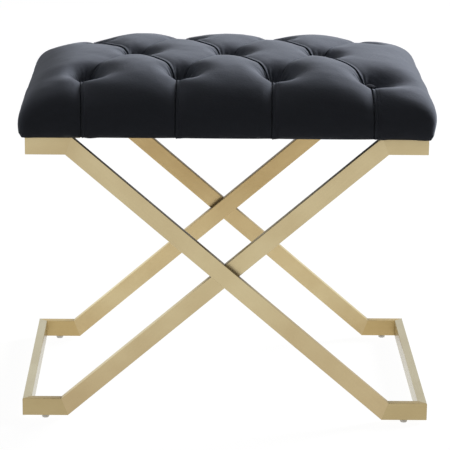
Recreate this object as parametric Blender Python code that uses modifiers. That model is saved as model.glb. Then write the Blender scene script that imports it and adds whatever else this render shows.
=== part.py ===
"""Tufted bench on two nested Z-frames of rectangular steel tube, crossed and welded into an X.

Sizes are in metres. +X is to the right, +Y to the back and +Z up. The origin is on the floor, under the
middle of the seat.
"""

import math

import bmesh
import bpy
from mathutils import Matrix, Vector

# Clearances between separate pieces
GAP = 0.0003
WELD_GAP = 0.0003
HOLE_CLEARANCE = 0.0003
BUTTON_CLEARANCE = 0.0025
FOAM_CLEARANCE = 0.0006
LIP_SCREW_CLEARANCE = 0.001

# Rectangular tube of both frames
TUBE_FACE = 0.024
TUBE_THICKNESS = 0.012
TUBE_WALL = 0.0012
TUBE_EDGE_RADIUS = 0.0011

# Frames: the outer one runs from the left arm to the right foot, the inner one mirrors it inside
FOOT_SPAN = 0.550
ARM_SPAN = 0.534
FRAME_DEPTH = 0.392
FRAME_HEIGHT = 0.3955
FLAT_LENGTH = 0.0615

# Push-in floor glides
GLIDE_HEIGHT = 0.004
GLIDE_RADIUS = 0.005
GLIDE_CHAMFER = 0.001
GLIDE_STEM_RADIUS = 0.003
GLIDE_STEM_LENGTH = 0.009

# Plates welded into the corners of the arms, each with one screw into the seat board
PLATE_LENGTH = 0.060
PLATE_WIDTH = 0.050
PLATE_THICKNESS = 0.003
PLATE_CORNER_CUT = 0.014
SCREW_RADIUS = 0.003
SCREW_HEAD_RADIUS = 0.0062
SCREW_HEAD_HEIGHT = 0.0034
SCREW_SOCKET_RADIUS = 0.0023
SCREW_SOCKET_DEPTH = 0.002
SCREW_SOCKET_SIDES = 6
SCREW_HEAD_RIM = 0.0011
SCREW_TIP_CHAMFER = 0.0007
NUT_FLANGE_RADIUS = 0.0095
NUT_FLANGE_THICKNESS = 0.0015
NUT_BARREL_RADIUS = 0.0043
NUT_BARREL_LENGTH = 0.009

# Seat stack, from the frame up
DUST_COVER_THICKNESS = 0.0006
DUST_COVER_MARGIN = 0.001
COVER_LIP_THICKNESS = 0.0016
COVER_WALL = 0.004
WADDING = 0.008
BOARD_THICKNESS = 0.015
BOARD_CORNER_RADIUS = 0.034

# Cushion form
SEAT_OVERHANG = 0.0047
CUSHION_HEIGHT = 0.0854
CUSHION_TUCK = 0.0048
CUSHION_TUCK_HEIGHT = 0.022
CUSHION_ROUND_X = 0.096
CUSHION_ROUND_Y = 0.126
CUSHION_SIDE_HEIGHT = 0.0128
CUSHION_ROUND_POWER = 2.37
SIDE_CORNER_POWER = 12
TOP_CORNER_POWER = 2.3

# Tufts: a row of four at the front and at the back, and three between them
TUFT_PITCH = 0.1275
TUFT_ROW = 0.118
TUFT_RADIUS = 0.023
TUFT_POWER = 1.3
TUFT_SEAT = 0.010
FOAM_UNDER_TUFT = 0.017
PLEAT_DEPTH = 0.0055
PLEAT_WIDTH = 0.012
SIDE_PLEAT_DEPTH = 0.009
SIDE_PLEAT_WIDTH = 0.014
SIDE_PLEAT_FADE = 0.25

# Covered buttons and their ties
BUTTON_RADIUS = 0.0075
BUTTON_DOME = 0.0034
BUTTON_SHANK_RADIUS = 0.0025
TIE_RADIUS = 0.001
TIE_HOLE_RADIUS = 0.0016
KNOT_RADIUS = 0.0035
KNOT_HEIGHT = 0.0012

# Mesh fineness
SHARP_ANGLE = math.radians(35)
EDGE_SEGMENTS = 2
CORNER_SEGMENTS = 3
ROUND_STEPS = 16
BUTTON_STEPS = 16
BUTTON_DOME_STEPS = 3
TIE_STEPS = 6
CUTTER_EXTRA = 0.010
LINES_PER_PITCH = 6
LINES_PER_ROW = 3
FINE_EDGE_LINE = 0.010
COARSE_EDGE_LINE = 0.032
FINE_ROUND_LINES = (0.08, 0.3, 0.6)
COARSE_ROUND_LINES = (0.4,)

# Heights and half sizes that follow from the sizes above
FOOT_BOTTOM = GLIDE_HEIGHT
COVER_BOTTOM = FRAME_HEIGHT + GAP
DUST_COVER_BOTTOM = COVER_BOTTOM - GAP - DUST_COVER_THICKNESS
PLATE_TOP = DUST_COVER_BOTTOM - GAP
COVER_LIP_TOP = COVER_BOTTOM + COVER_LIP_THICKNESS
BOARD_BOTTOM = COVER_LIP_TOP + GAP
BOARD_TOP = BOARD_BOTTOM + BOARD_THICKNESS
FOAM_BOTTOM = BOARD_TOP + GAP
TUFT_BOTTOM = FOAM_BOTTOM + FOAM_UNDER_TUFT + TUFT_SEAT
SEAT_TOP = COVER_BOTTOM + CUSHION_HEIGHT
TUFT_DROP = SEAT_TOP - TUFT_BOTTOM
COVER_HALF_X = ARM_SPAN / 2 + SEAT_OVERHANG + CUSHION_TUCK
COVER_HALF_Y = FRAME_DEPTH / 2 + SEAT_OVERHANG + CUSHION_TUCK
BOARD_HALF_X = ARM_SPAN / 2 + SEAT_OVERHANG - COVER_WALL - GAP
BOARD_HALF_Y = FRAME_DEPTH / 2 + SEAT_OVERHANG - COVER_WALL - GAP
OUTER_HALF_DEPTH = FRAME_DEPTH / 2
INNER_HALF_DEPTH = OUTER_HALF_DEPTH - TUBE_THICKNESS - GAP
SCREW_HOLE_RADIUS = SCREW_RADIUS + HOLE_CLEARANCE
CUSHION_ROUND_HEIGHT = CUSHION_HEIGHT - CUSHION_SIDE_HEIGHT
SCREW_INSET = TUBE_THICKNESS + WELD_GAP + PLATE_WIDTH / 2
COVER_LIP_WIDTH = SEAT_OVERHANG + SCREW_INSET - SCREW_HOLE_RADIUS - LIP_SCREW_CLEARANCE


# Scene, materials and small mesh helpers

def clear_scene():
    for obj in list(bpy.data.objects):
        bpy.data.objects.remove(obj)


def new_collection(name, hidden=False):
    collection = bpy.data.collections.new(name)
    bpy.context.scene.collection.children.link(collection)
    collection.hide_render = hidden
    return collection


def new_material(name, colour, roughness, metallic=0.0):
    material = bpy.data.materials.new(name)
    material.use_nodes = True
    shader = material.node_tree.nodes["Principled BSDF"]
    shader.inputs["Base Color"].default_value = (*colour, 1.0)
    shader.inputs["Roughness"].default_value = roughness
    shader.inputs["Metallic"].default_value = metallic
    material.diffuse_color = (*colour, 1.0)
    return material


def finish_mesh(mesh, material):
    """Smooth shading with crisp edges, and the material."""
    mesh.shade_smooth()
    mesh.set_sharp_from_angle(angle=SHARP_ANGLE)
    if material:
        mesh.materials.append(material)


def object_from(bm, name, collection, material=None, location=(0, 0, 0), rotation=(0, 0, 0)):
    bmesh.ops.recalc_face_normals(bm, faces=bm.faces)
    mesh = bpy.data.meshes.new(name)
    bm.to_mesh(mesh)
    bm.free()
    finish_mesh(mesh, material)
    obj = bpy.data.objects.new(name, mesh)
    obj.location = location
    obj.rotation_euler = rotation
    collection.objects.link(obj)
    return obj


def box_mesh(size_x, size_y, size_z):
    bm = bmesh.new()
    bmesh.ops.create_cube(bm, size=1)
    bmesh.ops.scale(bm, vec=(size_x, size_y, size_z), verts=bm.verts)
    return bm


def round_edges_along(bm, axis, radius, segments):
    """Rounds the edges of a box that run along one axis, 0 for X and 2 for Z."""
    along = [e for e in bm.edges if abs((e.verts[0].co - e.verts[1].co).normalized()[axis]) > 0.99]
    bmesh.ops.bevel(bm, geom=along, offset=radius, segments=segments, profile=0.5, affect="EDGES")


def turned(name, profile, collection, material=None, location=(0, 0, 0), steps=ROUND_STEPS, closed=False):
    """A turned piece from (radius, height) points that run down its outer side."""
    mesh = bpy.data.meshes.new(name)
    edges = [(i, i + 1) for i in range(len(profile) - 1)]
    if closed:
        edges.append((len(profile) - 1, 0))
    mesh.from_pydata([(radius, 0, height) for radius, height in profile], edges, [])
    obj = bpy.data.objects.new(name, mesh)
    obj.location = location
    collection.objects.link(obj)
    screw = obj.modifiers.new("turn", "SCREW")
    screw.steps = steps
    screw.render_steps = steps
    screw.use_merge_vertices = True
    screw.merge_threshold = 0.00001
    solid = bpy.data.meshes.new_from_object(obj.evaluated_get(bpy.context.evaluated_depsgraph_get()))
    solid.name = name
    obj.modifiers.clear()
    obj.data = solid
    bpy.data.meshes.remove(mesh)
    finish_mesh(solid, material)
    return obj


def cutter_cylinder(name, radius, low, high, place, cutters, segments=ROUND_STEPS):
    bm = bmesh.new()
    size = {"radius1": radius, "radius2": radius, "depth": high - low}
    bmesh.ops.create_cone(bm, cap_ends=True, segments=segments, **size)
    return as_cutter(object_from(bm, name, cutters, location=(place[0], place[1], (low + high) / 2)))


def as_cutter(obj):
    obj.hide_render = True
    obj.display_type = "WIRE"
    return obj


def cut(obj, cutter):
    boolean = obj.modifiers.new(cutter.name, "BOOLEAN")
    boolean.operation = "DIFFERENCE"
    boolean.object = cutter


# Frames of mitred tube

def leg_angle():
    """Slope of the legs, so that a tube of TUBE_FACE joins the flat of the foot to the flat of the arm."""
    run = (FOOT_SPAN + ARM_SPAN) / 2 - 2 * FLAT_LENGTH
    rise = FRAME_HEIGHT - FOOT_BOTTOM
    return math.acos(TUBE_FACE / math.hypot(run, rise)) - math.atan2(run, rise)


def frame_corners(side):
    """Centre line of one Z-frame in the XZ plane, from its foot to its arm; side is the foot's side."""
    bend = TUBE_FACE / 2 * math.tan(leg_angle() / 2)
    foot_z = FOOT_BOTTOM + TUBE_FACE / 2
    arm_z = FRAME_HEIGHT - TUBE_FACE / 2
    return (
        (side * (FOOT_SPAN / 2 - TUBE_THICKNESS / 2), foot_z),
        (side * (FOOT_SPAN / 2 - FLAT_LENGTH + bend), foot_z),
        (-side * (ARM_SPAN / 2 - FLAT_LENGTH + bend), arm_z),
        (-side * (ARM_SPAN / 2 - TUBE_THICKNESS / 2), arm_z),
    )


def mitred_tube(name, start, end, start_joint, end_joint, parts, cutters, material):
    """A hollow tube from start to end. Each joint is the direction in which the next tube leads away."""
    start, end = Vector(start), Vector(end)
    run = (end - start).normalized()
    across = Vector((0, 1, 0)) if abs(run.y) < 0.5 else Vector((-1, 0, 0))
    rotation = Matrix((run, across, run.cross(across))).transposed()
    length = (end - start).length
    long_enough = length + 2 * (TUBE_FACE + TUBE_THICKNESS)

    bm = box_mesh(long_enough, TUBE_THICKNESS, TUBE_FACE)
    round_edges_along(bm, 0, TUBE_EDGE_RADIUS, EDGE_SEGMENTS)
    for x, joint, outward in ((-length / 2, start_joint, -run), (length / 2, end_joint, run)):
        normal = rotation.transposed() @ (outward + Vector(joint)).normalized()
        place = Vector((x, 0, 0)) - normal * WELD_GAP / 2
        everything = bm.verts[:] + bm.edges[:] + bm.faces[:]
        bmesh.ops.bisect_plane(bm, geom=everything, plane_co=place, plane_no=normal, clear_outer=True)
        bmesh.ops.holes_fill(bm, edges=[e for e in bm.edges if e.is_boundary])
    middle = (start + end) / 2
    turn = rotation.to_euler()
    tube = object_from(bm, name, parts, material, middle, turn)

    inside = box_mesh(long_enough, TUBE_THICKNESS - 2 * TUBE_WALL, TUBE_FACE - 2 * TUBE_WALL)
    cut(tube, as_cutter(object_from(inside, name + "_bore", cutters, None, middle, turn)))
    return tube


def build_frame(label, side, half_depth, parts, cutters, material):
    """One Z-frame: two legs, two feet, two arms, and the bars that join them front to back."""
    corners = frame_corners(side)
    tubes = {}
    for end_name, end_side in (("front", -1), ("rear", 1)):
        y = end_side * (half_depth - TUBE_THICKNESS / 2)
        foot_end, foot_bend, arm_bend, arm_end = (Vector((x, y, z)) for x, z in corners)
        to_bar = Vector((0, -end_side, 0))
        foot_run = (foot_bend - foot_end).normalized()
        leg_run = (arm_bend - foot_bend).normalized()
        arm_run = (arm_end - arm_bend).normalized()
        for piece, start, end, before, after in (
            ("foot", foot_end, foot_bend, to_bar, leg_run),
            ("leg", foot_bend, arm_bend, -foot_run, arm_run),
            ("arm", arm_bend, arm_end, -leg_run, to_bar),
        ):
            name = f"{label}_{end_name}_{piece}"
            tubes[name] = mitred_tube(name, start, end, before, after, parts, cutters, material)
    y = half_depth - TUBE_THICKNESS / 2
    for piece, (x, z), inward in (("foot_bar", corners[0], -side), ("seat_bar", corners[3], side)):
        name = f"{label}_{piece}"
        lead = Vector((inward, 0, 0))
        tubes[name] = mitred_tube(name, (x, -y, z), (x, y, z), lead, lead, parts, cutters, material)
    return tubes


# Floor glides

def build_glides(label, side, half_depth, tubes, parts, cutters, material):
    x = side * (FOOT_SPAN / 2 - FLAT_LENGTH / 2)
    for end_name, end_side in (("front", -1), ("rear", 1)):
        y = end_side * (half_depth - TUBE_THICKNESS / 2)
        head_top = GLIDE_HEIGHT - GAP
        stem_top = head_top + GLIDE_STEM_LENGTH
        profile = (
            (0, stem_top),
            (GLIDE_STEM_RADIUS - GLIDE_CHAMFER, stem_top),
            (GLIDE_STEM_RADIUS, stem_top - GLIDE_CHAMFER),
            (GLIDE_STEM_RADIUS, head_top),
            (GLIDE_RADIUS, head_top),
            (GLIDE_RADIUS, GLIDE_CHAMFER),
            (GLIDE_RADIUS - GLIDE_CHAMFER, 0),
            (0, 0),
        )
        turned(f"{label}_{end_name}_glide", profile, parts, material, (x, y, 0))
        hole = cutter_cylinder(
            f"{label}_{end_name}_glide_hole",
            GLIDE_STEM_RADIUS + HOLE_CLEARANCE,
            FOOT_BOTTOM - CUTTER_EXTRA,
            FOOT_BOTTOM + TUBE_WALL + GAP,
            (x, y),
            cutters,
        )
        cut(tubes[f"{label}_{end_name}_foot"], hole)


# Seat fastening

def plate_places():
    """Name, middle and outward sides of each welded plate, in the corner of an arm and its seat bar."""
    places = []
    for label, side, half_depth in (("outer", -1, OUTER_HALF_DEPTH), ("inner", 1, INNER_HALF_DEPTH)):
        for end_name, end_side in (("front", -1), ("rear", 1)):
            x = side * (ARM_SPAN / 2 - TUBE_THICKNESS - WELD_GAP - PLATE_LENGTH / 2)
            y = end_side * (half_depth - SCREW_INSET)
            places.append((f"{label}_{end_name}", x, y, side, end_side))
    return places


def build_plate(label, x, y, side, end_side, parts, cutters, material):
    """Flat plate with its inner corner cut off."""
    bm = box_mesh(PLATE_LENGTH, PLATE_WIDTH, PLATE_THICKNESS)
    free = [e for e in bm.edges if all(v.co.x * side < 0 and v.co.y * end_side < 0 for v in e.verts)]
    bmesh.ops.bevel(bm, geom=free, offset=PLATE_CORNER_CUT, segments=1, affect="EDGES")
    plate = object_from(bm, f"{label}_seat_plate", parts, material, (x, y, PLATE_TOP - PLATE_THICKNESS / 2))
    low, high = PLATE_TOP - PLATE_THICKNESS - CUTTER_EXTRA, PLATE_TOP + CUTTER_EXTRA
    cut(plate, cutter_cylinder(f"{label}_plate_hole", SCREW_HOLE_RADIUS, low, high, (x, y), cutters))


def build_screw(label, x, y, parts, cutters, material):
    """Button-head socket screw, up through the plate into the nut in the board."""
    head_top = PLATE_TOP - PLATE_THICKNESS - GAP
    tip = BOARD_TOP - NUT_FLANGE_THICKNESS
    profile = (
        (0, tip),
        (SCREW_RADIUS - SCREW_TIP_CHAMFER, tip),
        (SCREW_RADIUS, tip - SCREW_TIP_CHAMFER),
        (SCREW_RADIUS, head_top),
        (SCREW_HEAD_RADIUS, head_top),
        (SCREW_HEAD_RADIUS, head_top - SCREW_HEAD_RIM),
        ((SCREW_HEAD_RADIUS + SCREW_SOCKET_RADIUS) / 2, head_top - SCREW_HEAD_HEIGHT),
        (0, head_top - SCREW_HEAD_HEIGHT),
    )
    screw = turned(f"{label}_seat_screw", profile, parts, material, (x, y, 0))
    bottom = head_top - SCREW_HEAD_HEIGHT
    socket = cutter_cylinder(
        f"{label}_screw_socket",
        SCREW_SOCKET_RADIUS,
        bottom - CUTTER_EXTRA,
        bottom + SCREW_SOCKET_DEPTH,
        (x, y),
        cutters,
        SCREW_SOCKET_SIDES,
    )
    cut(screw, socket)


def build_nut(label, x, y, parts, material):
    """Flanged insert nut, let into the top of the board."""
    under = BOARD_TOP - NUT_FLANGE_THICKNESS
    profile = (
        (SCREW_HOLE_RADIUS, BOARD_TOP),
        (NUT_FLANGE_RADIUS, BOARD_TOP),
        (NUT_FLANGE_RADIUS, under),
        (NUT_BARREL_RADIUS, under),
        (NUT_BARREL_RADIUS, under - NUT_BARREL_LENGTH),
        (SCREW_HOLE_RADIUS, under - NUT_BARREL_LENGTH),
    )
    turned(f"{label}_insert_nut", profile, parts, material, (x, y, 0), closed=True)


# Cushion form, shared by the cover, the hollow inside it and the foam

def tuft_places():
    """Name and place of each tuft."""
    places = []
    for row, y, columns in (
        ("front", -TUFT_ROW, (-1.5, -0.5, 0.5, 1.5)),
        ("middle", 0.0, (-1, 0, 1)),
        ("rear", TUFT_ROW, (-1.5, -0.5, 0.5, 1.5)),
    ):
        for number, column in enumerate(columns, 1):
            places.append((f"{row}_{number}", column * TUFT_PITCH, y))
    return places


def dimple(x, y):
    """How far the nearest tuft draws the top down."""
    nearest = min(math.hypot(x - tx, y - ty) for _, tx, ty in tuft_places())
    return TUFT_DROP * math.exp(-((nearest / TUFT_RADIUS) ** TUFT_POWER))


def off_segment(x, y, a, b):
    run_x, run_y = b[0] - a[0], b[1] - a[1]
    share = ((x - a[0]) * run_x + (y - a[1]) * run_y) / (run_x**2 + run_y**2)
    share = min(1.0, max(0.0, share))
    return math.hypot(x - a[0] - share * run_x, y - a[1] - share * run_y)


def pleat(x, y, top_share):
    """Depth of the nearest pleat: a diagonal between tufts, or a straight one over the front or back."""
    tufts = tuft_places()
    outer = [(tx, ty) for _, tx, ty in tufts if ty]
    middle = [(tx, ty) for _, tx, ty in tufts if not ty]
    found = 0.0
    for mx, my in middle:
        for ox, oy in outer:
            if abs(abs(ox - mx) - TUFT_PITCH / 2) < GAP:
                away = off_segment(x, y, (mx, my), (ox, oy))
                found = max(found, PLEAT_DEPTH * math.exp(-away / PLEAT_WIDTH))
    side_depth = SIDE_PLEAT_DEPTH * (SIDE_PLEAT_FADE + (1 - SIDE_PLEAT_FADE) * top_share)
    for ox, oy in outer:
        away = off_segment(x, y, (ox, oy), (ox, math.copysign(COVER_HALF_Y, oy)))
        found = max(found, side_depth * math.exp(-away / SIDE_PLEAT_WIDTH))
    return found


def cushion_surface(point, inset, padded):
    """Moves a point of the cushion's plain box onto the rounded, tufted form, inset from its outer face.

    Under the padding the pleats are filled out, and the top and the tufts lie lower by the wadding.
    """
    x, y, h = point
    inner_x = COVER_HALF_X - CUSHION_ROUND_X
    inner_y = COVER_HALF_Y - CUSHION_ROUND_Y
    edge_x = max(0.0, abs(x) - inner_x) / CUSHION_ROUND_X
    edge_y = max(0.0, abs(y) - inner_y) / CUSHION_ROUND_Y
    edge_h = max(0.0, h - CUSHION_SIDE_HEIGHT) / CUSHION_ROUND_HEIGHT
    corner = SIDE_CORNER_POWER + (TOP_CORNER_POWER - SIDE_CORNER_POWER) * edge_h
    plan = (edge_x**corner + edge_y**corner) ** (1 / corner)
    size = (plan**CUSHION_ROUND_POWER + edge_h**CUSHION_ROUND_POWER) ** (1 / CUSHION_ROUND_POWER)
    edge_x, edge_y, edge_h = edge_x / size, edge_y / size, edge_h / size
    if edge_x:
        x = math.copysign(inner_x + CUSHION_ROUND_X * edge_x, x)
    if edge_y:
        y = math.copysign(inner_y + CUSHION_ROUND_Y * edge_y, y)
    if edge_h:
        h = CUSHION_SIDE_HEIGHT + CUSHION_ROUND_HEIGHT * edge_h
    steep = corner - 1
    outward = Vector((math.copysign(edge_x**steep, x), math.copysign(edge_y**steep, y), edge_h))
    outward.normalize()
    tuck = CUSHION_TUCK * max(0.0, 1 - h / CUSHION_TUCK_HEIGHT) ** 2
    drop = dimple(x, y) * edge_h
    tufted = drop / TUFT_DROP
    if padded:
        sunk = inset + tuck + WADDING * edge_h * (1 - tufted) + (TUFT_SEAT - COVER_WALL) * tufted
    else:
        sunk = inset + tuck + pleat(x, y, edge_h) * (1 - tufted)
    return Vector((x, y, COVER_BOTTOM + h - drop)) - outward * sunk


def grid_lines(half, step, edge):
    """Lines at multiples of step across a width of 2 * half, and one more inside each edge."""
    count = int((half - edge - step / 4) / step)
    return [i * step for i in range(-count, count + 1)] + [edge - half, half - edge]


def split_along_surface(face, padded):
    """Splits a four-sided face along the diagonal nearer the cushion form, so that creases stay sharp."""
    verts = list(face.verts)
    middle = cushion_surface(face.calc_center_median(), 0.0, padded)
    corners = [cushion_surface(vert.co, 0.0, padded) for vert in verts]
    misses = [((corners[i] + corners[i + 2]) / 2 - middle).length for i in (0, 1)]
    first = 0 if misses[0] < misses[1] else 1
    bmesh.utils.face_split(face, verts[first], verts[first + 2])


def cushion_block(name, lines_x, lines_y, lines_h, bottom, inset, padded, collection, material=None):
    """A closed solid of the cushion form, from a box cut along the given lines."""
    low = bottom - COVER_BOTTOM
    bm = box_mesh(2 * COVER_HALF_X, 2 * COVER_HALF_Y, CUSHION_HEIGHT - low)
    bmesh.ops.translate(bm, vec=(0, 0, (CUSHION_HEIGHT + low) / 2), verts=bm.verts)
    for axis, lines in enumerate((lines_x, lines_y, lines_h)):
        normal = Vector((axis == 0, axis == 1, axis == 2))
        for line in lines:
            everything = bm.verts[:] + bm.edges[:] + bm.faces[:]
            bmesh.ops.bisect_plane(bm, geom=everything, plane_co=normal * line, plane_no=normal)
    floor = [f for f in bm.faces if f.normal.z < -0.5]
    bmesh.ops.dissolve_faces(bm, faces=floor)
    for face in [f for f in bm.faces if len(f.verts) == 4]:
        split_along_surface(face, padded)
    for vert in bm.verts:
        flat_bottom = vert.co.z <= low + GAP / 2
        vert.co = cushion_surface(vert.co, inset, padded)
        if flat_bottom:
            vert.co.z = bottom
    return object_from(bm, name, collection, material)


def coarse_block(name, bottom, inset, collection, material=None):
    """The cushion form with few faces, for the hollow of the cover and for the foam."""
    lines_x = grid_lines(COVER_HALF_X, TUFT_PITCH / 2, COARSE_EDGE_LINE)
    lines_y = grid_lines(COVER_HALF_Y, TUFT_ROW, COARSE_EDGE_LINE)
    lines_h = [CUSHION_SIDE_HEIGHT + CUSHION_ROUND_HEIGHT * share for share in COARSE_ROUND_LINES]
    if bottom < FOAM_BOTTOM:
        lines_h.append(FOAM_BOTTOM - COVER_BOTTOM)
    return cushion_block(name, lines_x, lines_y, lines_h, bottom, inset, True, collection, material)


def tie_hole(name, low, x, y, cutters):
    """Cutter for the hole of one tie, from the given height up into its tuft."""
    return cutter_cylinder(name, TIE_HOLE_RADIUS, low, TUFT_BOTTOM + CUTTER_EXTRA, (x, y), cutters, TIE_STEPS)


def build_cover(parts, cutters, material):
    """The cover with its wadding: tufted outside, hollow for foam and board, turned in under the board."""
    lines_x = grid_lines(COVER_HALF_X, TUFT_PITCH / LINES_PER_PITCH, FINE_EDGE_LINE)
    lines_y = grid_lines(COVER_HALF_Y, TUFT_ROW / LINES_PER_ROW, FINE_EDGE_LINE)
    lines_h = [CUSHION_SIDE_HEIGHT + CUSHION_ROUND_HEIGHT * share for share in FINE_ROUND_LINES]
    cover = cushion_block("seat_cover", lines_x, lines_y, lines_h, COVER_BOTTOM, 0.0, False, parts, material)
    cut(cover, as_cutter(coarse_block("cover_hollow", COVER_LIP_TOP, COVER_WALL, cutters)))
    opening_x = COVER_HALF_X - CUSHION_TUCK - COVER_LIP_WIDTH
    opening_y = COVER_HALF_Y - CUSHION_TUCK - COVER_LIP_WIDTH
    opening = box_mesh(2 * opening_x, 2 * opening_y, 2 * CUTTER_EXTRA)
    cut(cover, as_cutter(object_from(opening, "cover_opening", cutters, None, (0, 0, COVER_BOTTOM))))
    for label, x, y in tuft_places():
        cut(cover, tie_hole(f"{label}_cover_hole", FOAM_BOTTOM, x, y, cutters))


def build_foam(parts, cutters, material):
    foam = coarse_block("seat_foam", FOAM_BOTTOM, COVER_WALL + FOAM_CLEARANCE, parts, material)
    for label, x, y in tuft_places():
        cut(foam, tie_hole(f"{label}_foam_hole", FOAM_BOTTOM - CUTTER_EXTRA, x, y, cutters))


def build_board(parts, cutters, material):
    bm = box_mesh(2 * BOARD_HALF_X, 2 * BOARD_HALF_Y, BOARD_THICKNESS)
    round_edges_along(bm, 2, BOARD_CORNER_RADIUS, CORNER_SEGMENTS)
    board = object_from(bm, "seat_board", parts, material, (0, 0, BOARD_BOTTOM + BOARD_THICKNESS / 2))
    low, high = BOARD_BOTTOM - CUTTER_EXTRA, BOARD_TOP + CUTTER_EXTRA
    for label, x, y, _, _ in plate_places():
        seat = BOARD_TOP - NUT_FLANGE_THICKNESS - GAP
        barrel_hole = NUT_BARREL_RADIUS + HOLE_CLEARANCE
        flange_hole = NUT_FLANGE_RADIUS + HOLE_CLEARANCE
        profile = (
            (0, high),
            (flange_hole, high),
            (flange_hole, seat),
            (barrel_hole, seat),
            (barrel_hole, low),
            (0, low),
        )
        cut(board, as_cutter(turned(f"{label}_nut_hole", profile, cutters, None, (x, y, 0))))
    for label, x, y in tuft_places():
        cut(board, tie_hole(f"{label}_board_hole", low, x, y, cutters))


def build_dust_cover(parts, cutters, material):
    half_x = ARM_SPAN / 2 - TUBE_THICKNESS - DUST_COVER_MARGIN
    half_y = INNER_HALF_DEPTH - TUBE_THICKNESS - DUST_COVER_MARGIN
    bm = box_mesh(2 * half_x, 2 * half_y, DUST_COVER_THICKNESS)
    middle_z = DUST_COVER_BOTTOM + DUST_COVER_THICKNESS / 2
    dust_cover = object_from(bm, "dust_cover", parts, material, (0, 0, middle_z))
    for label, x, y, _, _ in plate_places():
        low, high = DUST_COVER_BOTTOM - CUTTER_EXTRA, DUST_COVER_BOTTOM + CUTTER_EXTRA
        cut(dust_cover, cutter_cylinder(f"{label}_dust_hole", SCREW_HOLE_RADIUS, low, high, (x, y), cutters))


def button_seat(x, y):
    """Rim height of the button in a tuft, and the slope of the tuft's sides, which its back follows."""
    step = TUFT_PITCH / LINES_PER_PITCH
    bottom = cushion_surface((x, y, CUSHION_HEIGHT), 0.0, False)
    sides = [cushion_surface((x + side * step, y, CUSHION_HEIGHT), 0.0, False) for side in (-1, 1)]
    slope = max((place.z - bottom.z) / abs(place.x - bottom.x) for place in sides)
    return bottom.z + slope * BUTTON_RADIUS + BUTTON_CLEARANCE, slope


def button_bottom(x, y):
    rim, slope = button_seat(x, y)
    return rim - slope * (BUTTON_RADIUS - BUTTON_SHANK_RADIUS)


def build_button(label, x, y, parts, material):
    """Covered button in the bottom of its tuft, with a domed face and a back drawn in to its shank."""
    rim, _ = button_seat(x, y)
    profile = [(0, rim + BUTTON_DOME)]
    for step in range(1, BUTTON_DOME_STEPS + 1):
        angle = math.pi / 2 * step / BUTTON_DOME_STEPS
        profile.append((BUTTON_RADIUS * math.sin(angle), rim + BUTTON_DOME * math.cos(angle)))
    profile += [(BUTTON_SHANK_RADIUS, button_bottom(x, y)), (0, button_bottom(x, y))]
    turned(f"{label}_button", profile, parts, material, (x, y, 0), BUTTON_STEPS)


def build_tie(label, x, y, parts, material):
    """Twine from the button down through foam and board, knotted under the board."""
    knot_top = BOARD_BOTTOM - GAP
    top = button_bottom(x, y) - GAP
    profile = (
        (0, top),
        (TIE_RADIUS, top),
        (TIE_RADIUS, knot_top),
        (KNOT_RADIUS, knot_top),
        (KNOT_RADIUS, knot_top - KNOT_HEIGHT),
        (0, knot_top - KNOT_HEIGHT),
    )
    turned(f"{label}_tie", profile, parts, material, (x, y, 0), TIE_STEPS)


def main():
    clear_scene()
    parts = new_collection("tufted_bench")
    cutters = new_collection("cutters", hidden=True)
    brass = new_material("brushed_brass_steel", (0.55, 0.44, 0.25), 0.35, 1.0)
    upholstery = new_material("black_upholstery", (0.012, 0.013, 0.016), 0.5)
    foam = new_material("foam", (0.80, 0.74, 0.55), 0.9)
    plywood = new_material("plywood", (0.52, 0.36, 0.20), 0.7)
    nonwoven = new_material("nonwoven", (0.015, 0.015, 0.016), 0.95)
    zinc = new_material("zinc_steel", (0.60, 0.61, 0.63), 0.4, 1.0)
    nylon = new_material("grey_nylon", (0.26, 0.26, 0.25), 0.5)
    twine = new_material("twine", (0.70, 0.68, 0.62), 0.9)

    for label, side, half_depth in (("outer", 1, OUTER_HALF_DEPTH), ("inner", -1, INNER_HALF_DEPTH)):
        tubes = build_frame(label, side, half_depth, parts, cutters, brass)
        build_glides(label, side, half_depth, tubes, parts, cutters, nylon)
    for label, x, y, side, end_side in plate_places():
        build_plate(label, x, y, side, end_side, parts, cutters, brass)
        build_screw(label, x, y, parts, cutters, zinc)
        build_nut(label, x, y, parts, zinc)
    build_dust_cover(parts, cutters, nonwoven)
    build_board(parts, cutters, plywood)
    build_foam(parts, cutters, foam)
    build_cover(parts, cutters, upholstery)
    for label, x, y in tuft_places():
        build_button(label, x, y, parts, upholstery)
        build_tie(label, x, y, parts, twine)


main()
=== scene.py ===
"""Looks of the tufted bench: padded cushion, brushed frame, underside, studio and camera.

Sizes are in metres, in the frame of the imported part: +X to the right, +Y to the back, +Z up.
"""

import math

import bmesh
import bpy
import numpy as np
from mathutils import Matrix, Vector, noise
from mathutils.bvhtree import BVHTree
from mathutils.interpolate import poly_3d_calc


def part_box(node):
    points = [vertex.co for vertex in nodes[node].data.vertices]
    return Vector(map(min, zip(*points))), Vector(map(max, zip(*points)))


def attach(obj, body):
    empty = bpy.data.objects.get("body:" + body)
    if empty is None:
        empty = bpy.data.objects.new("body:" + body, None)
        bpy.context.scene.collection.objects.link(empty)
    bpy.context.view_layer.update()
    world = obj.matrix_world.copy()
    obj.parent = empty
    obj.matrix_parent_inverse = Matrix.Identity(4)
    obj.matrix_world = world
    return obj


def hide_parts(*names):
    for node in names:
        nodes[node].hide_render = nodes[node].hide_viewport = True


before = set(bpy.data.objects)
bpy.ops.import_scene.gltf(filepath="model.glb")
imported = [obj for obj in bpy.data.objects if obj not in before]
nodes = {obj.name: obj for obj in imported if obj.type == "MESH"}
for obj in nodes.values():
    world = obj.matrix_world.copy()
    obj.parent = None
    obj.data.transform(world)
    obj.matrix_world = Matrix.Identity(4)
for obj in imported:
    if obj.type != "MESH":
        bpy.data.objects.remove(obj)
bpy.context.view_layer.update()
BODY = "root"

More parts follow.
